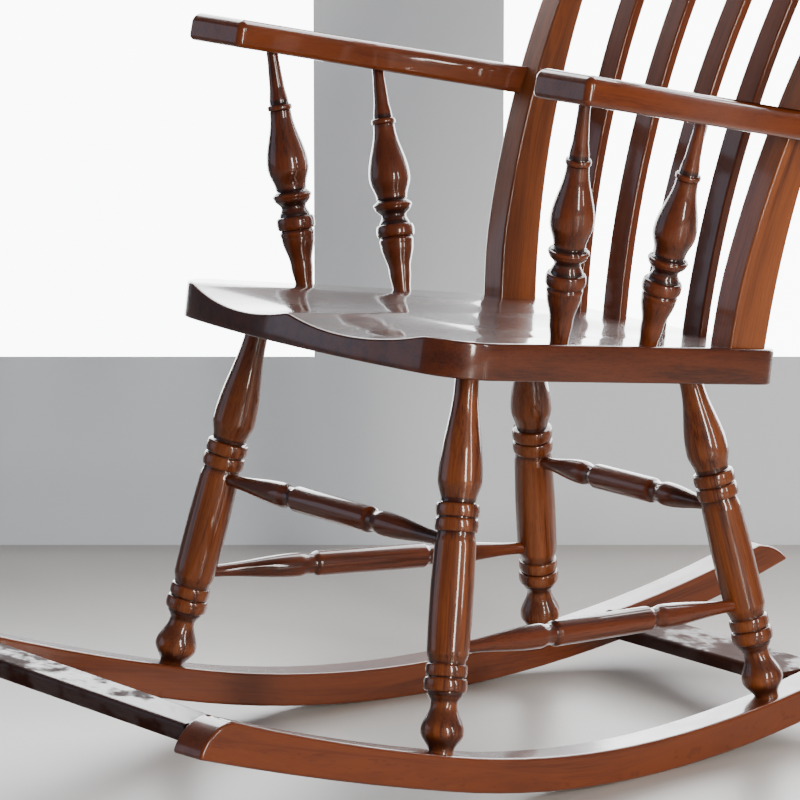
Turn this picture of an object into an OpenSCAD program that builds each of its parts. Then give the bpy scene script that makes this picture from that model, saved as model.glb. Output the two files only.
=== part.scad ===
// Slat-back armchair rocker: saddle seat, four turned legs, two long rockers, bent back.
// Floor is z = 0 under the lowest point of the rockers. The chair faces -Y, +Z is up.
// "left" is the sitter's left hand, which is +X.

/* [Seat] */
// Height of the seat plane above the floor at the middle of the chair
seat_h = 453.2; // [400:1:500]
// Backward tilt of the seat plane
seat_tilt = 8; // [0:0.5:12]
// Thickness of the seat board
seat_t = 37.5; // [28:0.5:48]
// Half width of the seat at the front corners
seat_front_half = 241; // [200:1:290]
// Half width of the seat at the back corners
seat_back_half = 208; // [205:1:250]
// Front edge of the seat, measured from the middle of the chair
seat_front = 255; // [220:1:300]
// Back edge of the seat, measured from the middle of the chair
seat_back = 239; // [232:1:280]
// Corner radius at the front of the seat
seat_front_r = 58; // [20:1:80]
// Corner radius at the back of the seat
seat_back_r = 28; // [10:1:40]
// How far the front edge bows forward between the corners
seat_bow = 19; // [5:1:30]
// Depth of the two thigh scoops at the front edge
scoop_depth = 15; // [6:0.5:18]
// Distance of each scoop from the centre line
scoop_x = 90; // [70:1:110]
// Radius of the scoops
scoop_r = 400; // [300:5:600]
// Depth of the round dish behind the scoops
dish_depth = 9; // [3:0.5:14]

/* [Legs] */
// Diameter of the beads, the widest part of a leg
leg_d = 44; // [34:0.5:54]
// Half spacing of the feet at the front
foot_front_x = 231.8; // [190:1:270]
// Front feet, forward of the middle of the chair
foot_front_y = 236; // [200:1:270]
// Half spacing of the leg tops at the front
top_front_x = 175.4; // [140:1:200]
// Front leg tops, forward of the middle of the chair
top_front_y = 158.5; // [120:1:190]
// Distance between front and rear feet along a rocker
foot_span = 473; // [400:1:540]
// Half spacing of the leg tops at the rear
top_rear_x = 133; // [100:1:170]
// Rear leg tops, behind the middle of the chair
top_rear_y = 169.4; // [140:1:190]
// Diameter of the leg where it enters the seat
leg_tenon_d = 24.5; // [18:0.5:30]
// Diameter of the dowel under each foot
foot_tenon_d = 14; // [8:0.5:18]

/* [Stretchers] */
// Height up the leg of the front and rear stretchers
high_stretch = 208; // [180:1:215]
// Height up the leg of the two side stretchers
low_stretch = 102; // [90:1:150]
// Diameter of the plain barrel of a stretcher
stretch_d = 27; // [20:0.5:34]
// Diameter of the tenon at each end of a stretcher
stretch_tenon_d = 13; // [9:0.5:16]

/* [Rockers] */
// Width of a rocker
rocker_w = 42; // [30:0.5:54]
// Depth of a rocker over the point that touches the floor
rocker_t = 36; // [28:0.5:46]
// Toe-in of the rockers toward the back
rocker_toe = 5.3; // [3:0.1:7]
// Distance from the front foot back to the point that touches the floor
rocker_low = 289; // [280:1:350]
// Curve radius under the seat
rocker_r_mid = 1240; // [1100:5:1800]
// Curve radius behind the contact point
rocker_r_rear = 1460; // [1100:5:1800]
// Curve radius of the front run
rocker_r_front = 4300; // [2500:50:6000]
// Length of the rocker in front of the front foot
rocker_fore = 334; // [280:1:380]
// Length of the rocker behind the front foot
rocker_aft = 808; // [700:1:880]
// Radius of the bullnose at the front of a rocker
rocker_nose = 44; // [36:1:60]
// Radius of the curve that runs out the tail
rocker_tail = 50; // [36:1:70]
// Width of the front cross board, front to back
board_front_w = 44; // [34:1:70]
// Thickness of the front cross board
board_front_t = 20; // [14:1:26]
// Width of the rear cross board, front to back
board_rear_w = 66; // [50:1:80]
// Thickness of the rear cross board
board_rear_t = 16; // [12:1:22]

/* [Back] */
// Radius of the bend in the slats and posts
back_r = 1000; // [800:10:1400]
// Lean of the slats from vertical where they leave the seat
back_lean = 7; // [3:0.5:12]
// Angle turned through by the bend
back_bend = 20; // [10:0.5:24]
// Straight length above the bend, up to the crest rail
back_straight = 268; // [200:1:340]
// Width of a back slat
slat_w = 29; // [20:0.5:36]
// Thickness of a back slat
slat_t = 12; // [8:0.5:16]
// Distance of the inner slats from the centre line at the seat
slat_in_x = 32.5; // [25:0.5:40]
// Distance of the outer slats from the centre line at the seat
slat_out_x = 98; // [85:0.5:110]
// Slat centre line behind the middle of the chair at the seat
slat_y = 207; // [195:0.5:215]
// Width of a back post at the seat, seen from the front
post_w = 32; // [24:0.5:42]
// Width of a back post at the crest rail, seen from the front
post_top_w = 37; // [24:0.5:46]
// Depth of a back post at the seat, front to back
post_deep = 50; // [36:0.5:58]
// Depth of a back post at the crest rail
post_thin = 28; // [22:0.5:34]
// Distance of a post from the centre line at the seat
post_x = 187.5; // [170:0.5:190]
// Height of the crest rail in the middle
crest_h = 104; // [70:1:120]
// Height of the crest rail at the ends
crest_end_h = 60; // [50:1:80]
// Thickness of the crest rail
crest_t = 22; // [18:0.5:30]
// Half length of the crest rail
crest_half = 282; // [260:1:310]
// Radius of the crest rail in plan
crest_r = 1250; // [1000:10:1600]

/* [Arms] */
// Thickness of an arm
arm_t = 30; // [20:0.5:34]
// Downward slope of the arms toward the back
arm_tilt = 11.8; // [4:0.1:16]
// Height of the underside of the arms at the middle of the chair
arm_h = 691; // [640:1:740]
// Inner front corner of the arms, forward of the middle of the chair
arm_front = 139; // [110:1:170]
// How far the outer front corner of an arm stands in front of the inner one
arm_skew = 3; // [0:1:20]
// Inner corner of the arm at the front
arm_in_x = 243; // [225:1:250]
// Width of the arm at the front end
arm_w = 90; // [75:1:110]
// How far an arm runs on behind the middle of its post
arm_past = 36; // [28:1:60]
// Width of an arm where it passes its post
arm_back_w = 38; // [30:1:60]
// Depth of the notch that lets an arm over the outside of its post
arm_lap = 12; // [6:1:16]

/* [Spindles] */
// Largest diameter of a turned arm spindle
spindle_d = 44.5; // [30:0.5:50]
// Half spacing of the front spindles at the seat
sp_front_x = 212.8; // [190:0.5:222]
// Front spindles, forward of the middle of the chair at the seat
sp_front_y = 71.9; // [50:0.5:100]
// Half spacing of the front spindles under the arm
sp_front_top_x = 259.2; // [245:0.5:280]
// Front spindles, forward of the middle of the chair under the arm
sp_front_top_y = 79.2; // [60:0.5:110]
// Half spacing of the rear spindles at the seat
sp_rear_x = 204; // [190:0.5:215]
// Rear spindles, behind the middle of the chair at the seat
sp_rear_y = 52.1; // [30:0.5:80]
// Half spacing of the rear spindles under the arm
sp_rear_top_x = 265.5; // [250:0.5:280]
// Rear spindles, behind the middle of the chair under the arm
sp_rear_top_y = 66.6; // [40:0.5:90]
// Diameter of the tenon at the foot of a spindle
sp_tenon_d = 19; // [12:0.5:24]
// Diameter of the tenon at the top of a spindle
sp_top_d = 12.5; // [9:0.5:16]

/* [Fits] */
// Gap on diameter between a round tenon and its bore
fit_round = 0.2; // [0.05:0.05:0.6]
// Gap around a flat tenon or notch on each side
fit_flat = 0.1; // [0.05:0.05:0.5]
// How deep the round tenons reach into the seat
tenon_deep = 25; // [16:1:30]
// Diameter of the wooden plugs over the screws
plug_d = 10; // [6:0.5:12]

/* [View] */
// Node to show

/* [Hidden] */

$fn = 48;
big_fn = 220;
wood = "#7a3f24";
dark = "#33211d";
eps = 0.01;

// ---- rocker curve: three tangent arcs, the lowest at s = rocker_low ----
top_r_mid = rocker_r_mid - rocker_t;
top_r_rear = rocker_r_rear + 30;
top_r_front = 3100;
mid_b = [rocker_low, rocker_r_mid];
mid_t = [rocker_low, rocker_t + top_r_mid];
rear_b = [rocker_low, rocker_r_rear];
rear_t = [rocker_low, rocker_t + top_r_rear];
join_b = [0, rocker_r_mid - sqrt(pow(rocker_r_mid, 2) - pow(rocker_low, 2))];
join_t = [0, mid_t[1] - sqrt(pow(top_r_mid, 2) - pow(rocker_low, 2))];
front_b = join_b + (mid_b - join_b) * rocker_r_front / rocker_r_mid;
front_t = join_t + (mid_t - join_t) * top_r_front / top_r_mid;
function arc_z(c, r, s) = c[1] - sqrt(r * r - pow(s - c[0], 2));
function rocker_top(s) =
  s < 0 ? arc_z(front_t, top_r_front, s) :
  s < rocker_low ? arc_z(mid_t, top_r_mid, s) : arc_z(rear_t, top_r_rear, s);
function rocker_bottom(s) =
  s < 0 ? arc_z(front_b, rocker_r_front, s) :
  s < rocker_low ? arc_z(mid_b, rocker_r_mid, s) : arc_z(rear_b, rocker_r_rear, s);
// x and y on the rocker centre line, s behind the front foot
function rx(s) = foot_front_x - s * sin(rocker_toe);
function ry(s) = -foot_front_y + s * cos(rocker_toe);

// ---- seat plane ----
function seat_z(y) = seat_h - y * tan(seat_tilt);
under_seat = seat_t / cos(seat_tilt);

// ---- leg axes: foot on the rocker, top at the underside of the seat ----
foot_f = [foot_front_x, -foot_front_y, rocker_top(0)];
foot_r = [rx(foot_span), ry(foot_span), rocker_top(foot_span)];
top_f = [top_front_x, -top_front_y, seat_z(-top_front_y) - under_seat];
top_r = [top_rear_x, top_rear_y, seat_z(top_rear_y) - under_seat];
function on(a, b, t) = a + (b - a) * t / norm(b - a);
leg_len_f = norm(top_f - foot_f);
leg_len_r = norm(top_r - foot_r);
function mir(p) = [-p[0], p[1], p[2]];

// ---- spindle axes ----
function arm_z(y) = arm_h - y * tan(arm_tilt);
sp_f0 = [sp_front_x, -sp_front_y, seat_z(-sp_front_y)];
sp_f1 = [sp_front_top_x, -sp_front_top_y, arm_z(-sp_front_top_y)];
sp_r0 = [sp_rear_x, sp_rear_y, seat_z(sp_rear_y)];
sp_r1 = [sp_rear_top_x, sp_rear_top_y, arm_z(sp_rear_top_y)];

// ---- back curve in side view, l measured up from the seat ----
arc_len = back_r * back_bend * PI / 180;
back_len = arc_len + back_straight;
function lean(l) = back_lean + min(l, arc_len) * 180 / PI / back_r;
function back_y(l) = back_r * (cos(back_lean) - cos(lean(l))) + max(0, l - arc_len) * sin(lean(l));
function back_z(l) = back_r * (sin(lean(l)) - sin(back_lean)) + max(0, l - arc_len) * cos(lean(l));
// a point beside the back curve, off it toward the front
function back_edge(l, off) = [back_y(l) - off * cos(lean(l)), back_z(l) + off * sin(lean(l))];
slat_root = 18;
crest_tenon = 22;
slat_z = seat_z(slat_y);
// sideways fan of the slats and posts, degrees
slat_in_fan = 1.7;
slat_out_fan = 3.4;
post_fan = 5.2;
// forward turn of each piece that follows the curve of the crest rail, degrees
slat_in_turn = 0;
slat_out_turn = 0.85;
post_turn = 1.3;

// ---- screws, plugs and dowels ----
screw_d = 6;
screw_head_d = 12;
screw_head = 5;
plug_len = 9;
peg_d = 7;
foot_dowel = 26;
// extra depth at the blind end of a bore
bore_spare = 0.2;
// how far a stretcher tenon stays from the axis of the leg it enters
tenon_start = 6;
// straight length of a leg below the seat, before the vase starts to swell
leg_neck = 10;
// how deep a spindle reaches into its arm
sp_top_deep = 15;

// ---------------- helpers ----------------
module stand(a, b) {
  v = b - a;
  translate(a)
    rotate([0, acos(v[2] / norm(v)), atan2(v[1], v[0])])
      children();
}

module both(left) {
  mirror([left ? 0 : 1, 0, 0]) children();
}

function ease(t) = (1 - cos(180 * t)) / 2;
// radius stations between two heights, easing from one radius to the next
function curve(z0, r0, z1, r1, n = 6) =
  [for (i = [0 : n]) [r0 + (r1 - r0) * ease(i / n), z0 + (z1 - z0) * i / n]];
// a rounded bead of full radius r standing out from a neck of radius q
function bead(z0, z1, q, r, n = 8) =
  [for (i = [0 : n]) [q + (r - q) * sqrt(max(0, sin(180 * i / n))), z0 + (z1 - z0) * ease(i / n)]];

module turned(stations, z0, z1) {
  rotate_extrude($fn = 64)
    polygon(concat([[0, z0]], stations, [[0, z1]]));
}

// ---------------- leg ----------------
// heights from the foot, in the order of the turning
module leg_turning(len, sink) {
  r = leg_d / 2;
  g = r * 0.86;
  turned(concat(
    [[foot_tenon_d / 2, -sink], [foot_tenon_d / 2, 0]],
    [[r * 0.57, -6], [r * 0.57, 0]],
    curve(0, r * 0.57, 20, r, 7),
    curve(21, r, 48, r * 0.61, 8),
    curve(49, r * 0.61, 60, r * 0.84, 4),
    bead(60.5, 74.5, r * 0.84, r),
    bead(75.5, 88, r * 0.84, r * 0.96),
    curve(88.5, r * 0.84, 101, r * 0.975, 5),
    [[r, 130], [r, 165], [r * 0.95, 205]],
    curve(207, r * 0.95, 218.5, r * 0.87, 4),
    bead(219.5, 233.5, g, r),
    bead(234.5, 248, g, r),
    curve(249, r * 0.8, 271, r * 1.02, 6),
    curve(272, r * 1.02, len - leg_neck, leg_tenon_d / 2, 10),
    [[leg_tenon_d / 2, len + tenon_deep]]
  ), -sink, len + tenon_deep);
}

module stretcher_socket() {
  translate([0, 0, tenon_start - 1]) cylinder(h = 40, d = stretch_tenon_d + fit_round);
}

module leg(a, b, left, front) {
  len = norm(b - a);
  color(wood) both(left) difference() {
    stand(a, b) leg_turning(len, foot_dowel);
    // the foot is scribed to the curved top of the rocker
    difference() {
      rocker_band();
      stand(a, b) translate([0, 0, -40]) cylinder(h = 80, d = foot_tenon_d);
    }
    // socket for the front or rear stretcher
    stand(on(a, b, high_stretch), mir(on(a, b, high_stretch)))
      stretcher_socket();
    // socket for the side stretcher
    stand(on(a, b, low_stretch), front ? on(foot_r, top_r, low_stretch) : on(foot_f, top_f, low_stretch))
      stretcher_socket();
    // pilot for the screw up through the rocker
    stand(a, b) translate([0, 0, -40]) cylinder(h = 62, d = screw_d);
  }
}

// ---------------- stretcher ----------------
module stretcher(a, b) {
  len = norm(b - a);
  r = stretch_d / 2;
  q = stretch_tenon_d / 2;
  e = tenon_start;
  s0 = 21;
  g = len * 0.325;
  color(wood) stand(a, b) turned(concat(
    [[q - 0.5, e], [q, e + 1], [q, s0]],
    curve(s0 + 0.5, q, g - 16, r * 0.95, 8),
    curve(g - 15, r * 0.95, g - 2, r * 0.8, 5),
    curve(g + 2, r * 0.8, g + 10, r, 4),
    curve(len - g - 10, r, len - g - 2, r * 0.8, 4),
    curve(len - g + 2, r * 0.8, len - g + 15, r * 0.95, 5),
    curve(len - g + 16, r * 0.95, len - s0 - 0.5, q, 8),
    [[q, len - s0], [q, len - e - 1], [q - 0.5, len - e]]
  ), e, len - e);
}

// ---------------- rocker ----------------
// The curved band in its own frame: s along, z up, then turned to its place on the left side.
module rocker_band() {
  translate([foot_front_x, -foot_front_y, 0]) rotate([0, 0, rocker_toe]) rotate([90, 0, 90]) {
    run(front_b, rocker_r_front, front_t, top_r_front, -rocker_fore - 8, 0);
    run(mid_b, rocker_r_mid, mid_t, top_r_mid, 0, rocker_low);
    run(rear_b, rocker_r_rear, rear_t, top_r_rear, rocker_low, rocker_aft + 4);
  }
}

module run(cb, rb, ct, rt, s0, s1) {
  intersection() {
    difference() {
      translate([cb[0], cb[1], -rocker_w / 2]) cylinder(h = rocker_w, r = rb, $fn = big_fn);
      translate([ct[0], ct[1], -rocker_w / 2 - 1]) cylinder(h = rocker_w + 2, r = rt, $fn = big_fn);
    }
    translate([s0, -5, -rocker_w / 2 - 2]) cube([s1 - s0, 260, rocker_w + 4]);
  }
}

module foot_bore(a, b) {
  stand(a, b) translate([0, 0, -foot_dowel - bore_spare]) cylinder(h = 70, d = foot_tenon_d + fit_round);
}

// What is cut off beyond a rounded end: s0 is where the curve leaves the top, dir the way out.
module end_cut(s0, r, z, dir) {
  difference() {
    translate([dir > 0 ? s0 : s0 - 2 * r, -40, -rocker_w]) cube([2 * r, 300, 2 * rocker_w]);
    translate([s0, z, -rocker_w]) cylinder(h = 2 * rocker_w, r = r, $fn = 96);
  }
}

module rocker(left) {
  nose_s = -rocker_fore + rocker_nose;
  tail_s = rocker_aft - rocker_tail;
  color(wood) both(left) difference() {
    rocker_band();
    translate([foot_front_x, -foot_front_y, 0]) rotate([0, 0, rocker_toe]) rotate([90, 0, 90]) {
      // bullnose at the front, longer under than over, and a tail that runs down to a low tip
      end_cut(nose_s, rocker_nose, rocker_top(nose_s) - rocker_nose, -1);
      end_cut(tail_s, rocker_tail, rocker_top(tail_s) - rocker_tail, 1);
    }
    // bores for the foot dowels and the screws below them
    foot_bore(foot_f, top_f);
    foot_bore(foot_r, top_r);
    foot_screw_cut(foot_f, top_f);
    foot_screw_cut(foot_r, top_r);
    // mortises for the two cross boards
    for (b = [board_front, board_rear]) {
      board_tongue(b, fit_flat);
      board_plug_at(b, fit_flat);
    }
  }
}

// ---------------- cross boards ----------------
board_tenon = 16;
bf_s = -292;
br_s = foot_span + 82;
bf_y = ry(bf_s);
br_y = ry(br_s);
bf_top = rocker_top(bf_s) - 8;
br_top = rocker_top(br_s) - 2;

function inner_x(s) = rx(s) - rocker_w / 2 / cos(rocker_toe);

// a board is [station on the rocker, middle, top, width, thickness, side shoulder, face shoulder]
board_front = [bf_s, bf_y, bf_top, board_front_w, board_front_t, 6, 5];
board_rear = [br_s, br_y, br_top, board_rear_w, board_rear_t, 8, 4];
// how far the bar runs in past the rocker before it is trimmed to it
board_trim = 4;

module board_bar(b) {
  l = inner_x(b[0]) - board_trim;
  translate([-l, b[1] - b[3] / 2, b[2] - b[4]]) cube([2 * l, b[3], b[4]]);
}

module board_tongue(b, grow) {
  l = inner_x(b[0]) + board_tenon + grow;
  translate([-l, b[1] - b[3] / 2 + b[5] - grow, b[2] - b[4] + b[6] - grow])
    cube([2 * l, b[3] - 2 * b[5] + 2 * grow, b[4] - 2 * b[6] + 2 * grow]);
}

module board(b) {
  color(wood) difference() {
    union() {
      intersection() {
        board_bar(b);
        between_rockers();
      }
      board_tongue(b, 0);
    }
    for (m = [0, 1]) mirror([m, 0, 0]) board_plug_at(b, fit_flat);
  }
}

// the space between the inner faces of the two rockers
module between_rockers() {
  intersection_for(m = [0, 1]) mirror([m, 0, 0])
    translate([foot_front_x, -foot_front_y, 0]) rotate([0, 0, rocker_toe])
      translate([-1000 - rocker_w / 2 - fit_flat, -800, -10]) cube([1000, 2200, 400]);
}

// a plug driven down through the left rocker and the tongue of a board
board_plug_len = 24;
module board_plug_at(b, grow) {
  top = rocker_top(b[0]);
  x = inner_x(b[0]) + board_tenon / 2;
  over = grow > 0 ? 12 : -2;
  translate([x, ry(b[0]), top - board_plug_len])
    cylinder(h = board_plug_len + over, d = peg_d + 2 * grow, $fn = 24);
}

module board_plugs() {
  color(dark) intersection() {
    for (m = [0, 1]) mirror([m, 0, 0]) for (b = [board_front, board_rear]) board_plug_at(b, 0);
    for (m = [0, 1]) mirror([m, 0, 0]) rocker_band();
  }
}

// ---------------- screws under the feet ----------------
module foot_screw(a, b) {
  shank = screw_d - 2 * fit_round;
  stand(a, b) {
    translate([0, 0, -foot_dowel]) cylinder(h = 42, d = shank, $fn = 24);
    translate([0, 0, -foot_dowel - screw_head])
      cylinder(h = screw_head + eps, d1 = screw_head_d, d2 = shank, $fn = 24);
  }
}

module foot_screw_cut(a, b) {
  stand(a, b) {
    translate([0, 0, -60]) cylinder(h = 70, d = screw_d);
    translate([0, 0, -60]) cylinder(h = 60 - foot_dowel, d = screw_head_d + 3 * fit_round, $fn = 24);
  }
}

module foot_screws() {
  color("#b8a878") for (m = [0, 1]) mirror([m, 0, 0]) {
    foot_screw(foot_f, top_f);
    foot_screw(foot_r, top_r);
  }
}

// ---------------- seat ----------------
function arc_pts(c, r, a0, a1, n) =
  [for (i = [0 : n]) let(a = a0 + (a1 - a0) * i / n) [c[0] + r * cos(a), c[1] + r * sin(a)]];
fx = seat_front_half - seat_front_r;
bx = seat_back_half - seat_back_r;
bow_r = (pow(seat_front_half - seat_front_r, 2) + pow(seat_bow, 2)) / (2 * seat_bow);
bow_a = asin(fx / (bow_r - seat_front_r));
fcy = -seat_front + bow_r - (bow_r - seat_front_r) * cos(bow_a);
bcy = seat_back - seat_back_r;
side_a = atan((seat_front_half - seat_back_half) / (bcy - fcy));

function seat_right() = concat(
  arc_pts([0, bow_r - seat_front], bow_r, -90 + 0.5, -90 + bow_a, 8),
  arc_pts([fx, fcy], seat_front_r, -90 + bow_a + 6, side_a, 10),
  arc_pts([bx, bcy], seat_back_r, side_a, 90, 8)
);
function flip(p) = [for (i = [len(p) - 1 : -1 : 0]) [-p[i][0], p[i][1]]];

module seat_blank() {
  translate([0, 0, seat_h]) rotate([-seat_tilt, 0, 0]) translate([0, 0, -seat_t])
    linear_extrude(seat_t) polygon(concat(seat_right(), flip(seat_right())));
}

// the scoops grow shallower toward the back
scoop_rise = 1.9;
dish_r = 900;
// middle of the dish, behind the middle of the chair
dish_y = 20;

module seat_scoops() {
  translate([0, 0, seat_h]) rotate([-seat_tilt, 0, 0]) {
    for (x = [-scoop_x, scoop_x])
      translate([x, -seat_front, scoop_r - scoop_depth])
        rotate([-90 + scoop_rise, 0, 0])
          translate([0, 0, -60]) cylinder(h = 560, r = scoop_r, $fn = big_fn);
    translate([0, dish_y, dish_r - dish_depth]) sphere(r = dish_r, $fn = big_fn);
  }
}

module leg_socket(a, b, len) {
  stand(a, b) translate([0, 0, len - 30])
    cylinder(h = 30 + tenon_deep + bore_spare, d = leg_tenon_d + fit_round);
}

module spindle_socket(a, b) {
  stand(a, b) translate([0, 0, -tenon_deep - bore_spare])
    cylinder(h = tenon_deep + 30, d = sp_tenon_d + fit_round);
}

module seat() {
  color(wood) difference() {
    seat_blank();
    seat_scoops();
    for (m = [0, 1]) mirror([m, 0, 0]) {
      leg_socket(foot_f, top_f, leg_len_f);
      leg_socket(foot_r, top_r, leg_len_r);
      spindle_socket(sp_f0, sp_f1);
      spindle_socket(sp_r0, sp_r1);
      post_body(fit_flat);
      slat_body(slat_in_x, slat_in_fan, slat_in_turn, fit_flat);
      slat_body(slat_out_x, slat_out_fan, slat_out_turn, fit_flat);
    }
  }
}

// ---------------- slats ----------------
// A band bent to the back curve, root end in the seat, top end in the crest rail.
slat_steps = 14;
slat_stations = concat(
  [for (i = [0 : slat_steps]) -slat_root + (arc_len + slat_root) * i / slat_steps],
  [back_len + crest_tenon]
);

module slat_band(w, t, grow) {
  edge = t / 2 + grow;
  rotate([90, 0, 90]) translate([0, 0, -w / 2 - grow]) linear_extrude(w + 2 * grow)
    polygon(concat(
      [for (l = slat_stations) back_edge(l, -edge)],
      [for (i = [len(slat_stations) - 1 : -1 : 0]) back_edge(slat_stations[i], edge)]
    ));
}

module slat_body(x, fan, turn, grow) {
  translate([x, slat_y, slat_z]) rotate([turn, fan, 0]) slat_band(slat_w, slat_t, grow);
}

module slat(x, fan, turn, left) {
  color(wood) both(left) slat_body(x, fan, turn, 0);
}

// ---------------- posts ----------------
function post_front(l) = post_deep + (post_thin - post_deep) * min(1, max(0, (l - 60) / 300));
post_steps = 26;
post_stations = [for (i = [0 : post_steps]) back_len * i / post_steps];

function post_front_edge(l, off) = back_edge(l, post_front(l) + off);

module post_frame() {
  translate([post_x, slat_y, slat_z]) rotate([post_turn, post_fan, 0]) children();
}

// the side outline cut across by the front outline, so a post widens as it rises
module post_body(grow) {
  back_off = -slat_t / 2;
  top = back_z(back_len) + 30;
  foot = -30;
  flare = (post_top_w - post_w) / 2 / back_z(back_len);
  w0 = post_w / 2 + grow + foot * flare;
  w1 = post_w / 2 + grow + top * flare;
  front_off = back_off + grow;
  post_frame() intersection() {
    rotate([90, 0, 90]) translate([0, 0, -post_top_w]) linear_extrude(2 * post_top_w)
      polygon(concat(
        [[-post_deep - back_off - grow, -14 - grow], [-back_off + grow, -22 - grow]],
        [for (l = post_stations) back_edge(l, back_off - grow)],
        [for (i = [post_steps : -1 : 0]) post_front_edge(post_stations[i], front_off)]
      ));
    rotate([90, 0, 0]) translate([0, 0, -600]) linear_extrude(800)
      polygon([[-w0, foot], [w0, foot], [w1, top], [-w1, top]]);
  }
}

// shoulders of the flat tenon at the top of a post
post_side_shoulder = 8;
post_face_shoulder = 7;
tenon_root = 4;

module post_tenon(grow) {
  w = post_top_w - 2 * post_side_shoulder;
  t = post_thin - 2 * post_face_shoulder;
  post_frame()
    translate([-w / 2 - grow, back_y(back_len), back_z(back_len)])
      rotate([-lean(back_len), 0, 0])
        translate([0, -post_thin + slat_t / 2 + post_face_shoulder - grow, -tenon_root])
          cube([w + 2 * grow, t + 2 * grow, crest_tenon + tenon_root + grow]);
}

module post(left) {
  color(wood) both(left) difference() {
    union() {
      post_body(0);
      post_tenon(0);
    }
    arm_plug_cut();
    crest_peg(fit_round / 2);
  }
}

// ---------------- crest rail ----------------
// Frame at the top of the straight part of the back, tilted to the lean of the back.
crest_y = slat_y + back_y(back_len);
crest_z = slat_z + back_z(back_len);
crest_lean = lean(back_len);

module crest_frame() {
  translate([0, crest_y, crest_z]) rotate([-crest_lean, 0, 0]) children();
}

module crest_rail() {
  rise = crest_h - crest_end_h;
  arch_r = (pow(crest_half, 2) + rise * rise) / (2 * rise);
  color(wood) difference() {
    crest_frame() intersection() {
      translate([0, -crest_r, 0]) difference() {
        cylinder(h = crest_h, r = crest_r + crest_t / 2, $fn = big_fn);
        translate([0, 0, -1]) cylinder(h = crest_h + 2, r = crest_r - crest_t / 2, $fn = big_fn);
      }
      // arched top edge
      translate([0, 200, crest_h - arch_r]) rotate([90, 0, 0]) cylinder(h = 400, r = arch_r, $fn = big_fn);
      translate([-crest_half, -200, 0]) cube([2 * crest_half, 300, crest_h + 1]);
    }
    for (m = [0, 1]) mirror([m, 0, 0]) {
      post_tenon(fit_flat);
      slat_body(slat_in_x, slat_in_fan, slat_in_turn, fit_flat);
      slat_body(slat_out_x, slat_out_fan, slat_out_turn, fit_flat);
      crest_peg(fit_round / 2);
    }
  }
}

module crest_peg(grow) {
  post_frame()
    translate([0, back_y(back_len) - 8, back_z(back_len)])
      rotate([-lean(back_len), 0, 0]) translate([0, 40, crest_tenon / 2]) rotate([90, 0, 0])
        cylinder(h = 80, d = peg_d + 2 * grow, $fn = 24);
}

module crest_pegs() {
  color(dark) for (m = [0, 1]) mirror([m, 0, 0]) intersection() {
    crest_peg(0);
    crest_frame() translate([0, -crest_r, -5]) difference() {
      cylinder(h = crest_h + 10, r = crest_r + crest_t / 2, $fn = big_fn);
      translate([0, 0, -1]) cylinder(h = crest_h + 12, r = crest_r - crest_t / 2, $fn = big_fn);
    }
  }
}

// ---------------- arms ----------------
// Where an arm meets its post: the distance up the post, then the middle of the joint.
arm_rise = arm_t / 2 / cos(arm_tilt);
function up_post(h) = h < back_z(arc_len) ?
  (asin(h / back_r + sin(back_lean)) - back_lean) * PI / 180 * back_r :
  arc_len + (h - back_z(arc_len)) / cos(lean(arc_len));
joint_near = up_post(arm_z(slat_y) - slat_z);
joint_y = slat_y + back_y(joint_near) - post_front(joint_near) / 2;
joint_z = arm_z(joint_y) + arm_rise;
joint_x = post_x + (joint_z - slat_z) * tan(post_fan);
joint_half_w = post_w / 2 + (post_top_w - post_w) / 2 * (joint_z - slat_z) / back_z(back_len);

// Plan of the left arm on its own sloping plane: wide at the front, narrow at the post.
arm_out_x = arm_in_x + arm_w;
arm_back = (joint_y + arm_past) / cos(arm_tilt);
arm_lap_x = joint_x + joint_half_w - arm_lap;
arm_tail_x = arm_lap_x + arm_back_w;
arm_corner_in = 9;
arm_corner_out = 9;
arm_corner_back = 9;
arm_lap_len = 62;
arm_taper = 190;
arm_steps = 10;
function arm_outer(t) = [
  arm_out_x - (arm_out_x - arm_tail_x) * ease(t),
  -arm_front + (arm_back - arm_corner_back + arm_front) * t
];
function arm_inner(t) = [
  arm_lap_x + (arm_in_x - arm_lap_x) * ease(t),
  arm_back - arm_lap_len - arm_taper * t
];
function arm_outline() = concat(
  arc_pts([arm_in_x + arm_corner_in, -arm_front + arm_corner_in], arm_corner_in, 180, 262, 6),
  arc_pts([arm_out_x - arm_corner_out, -arm_front - arm_skew + arm_corner_out], arm_corner_out, 278, 358, 6),
  [for (i = [1 : arm_steps]) arm_outer(i / (arm_steps + 0.5))],
  arc_pts([arm_tail_x - arm_corner_back, arm_back - arm_corner_back], arm_corner_back, 0, 90, 4),
  [[arm_lap_x, arm_back], [arm_lap_x, arm_back - arm_lap_len]],
  [for (i = [1 : arm_steps]) arm_inner(i / arm_steps)]
);

module arm_blank() {
  translate([0, 0, arm_h]) rotate([-arm_tilt, 0, 0])
    linear_extrude(arm_t) polygon(arm_outline());
}

module arm_socket(a, b) {
  stand(a, b) translate([0, 0, norm(b - a) - 20])
    cylinder(h = 20 + sp_top_deep + bore_spare, d = sp_top_d + fit_round);
}

module arm(left) {
  color(wood) both(left) difference() {
    arm_blank();
    post_body(fit_flat);
    arm_socket(sp_f0, sp_f1);
    arm_socket(sp_r0, sp_r1);
    arm_plug_cut();
  }
}

// a plugged screw from the outside of the arm into the post, biting a little past its middle
screw_bite = 6;
module arm_plug_frame() {
  translate([arm_lap_x + arm_back_w, joint_y, joint_z]) rotate([0, -90, 0]) children();
}

module arm_plug_body(grow) {
  arm_plug_frame() {
    cylinder(h = plug_len, d = plug_d + 2 * grow, $fn = 24);
    cylinder(h = arm_back_w - arm_lap + joint_half_w + screw_bite, d = screw_d + 2 * grow, $fn = 24);
  }
}

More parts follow.
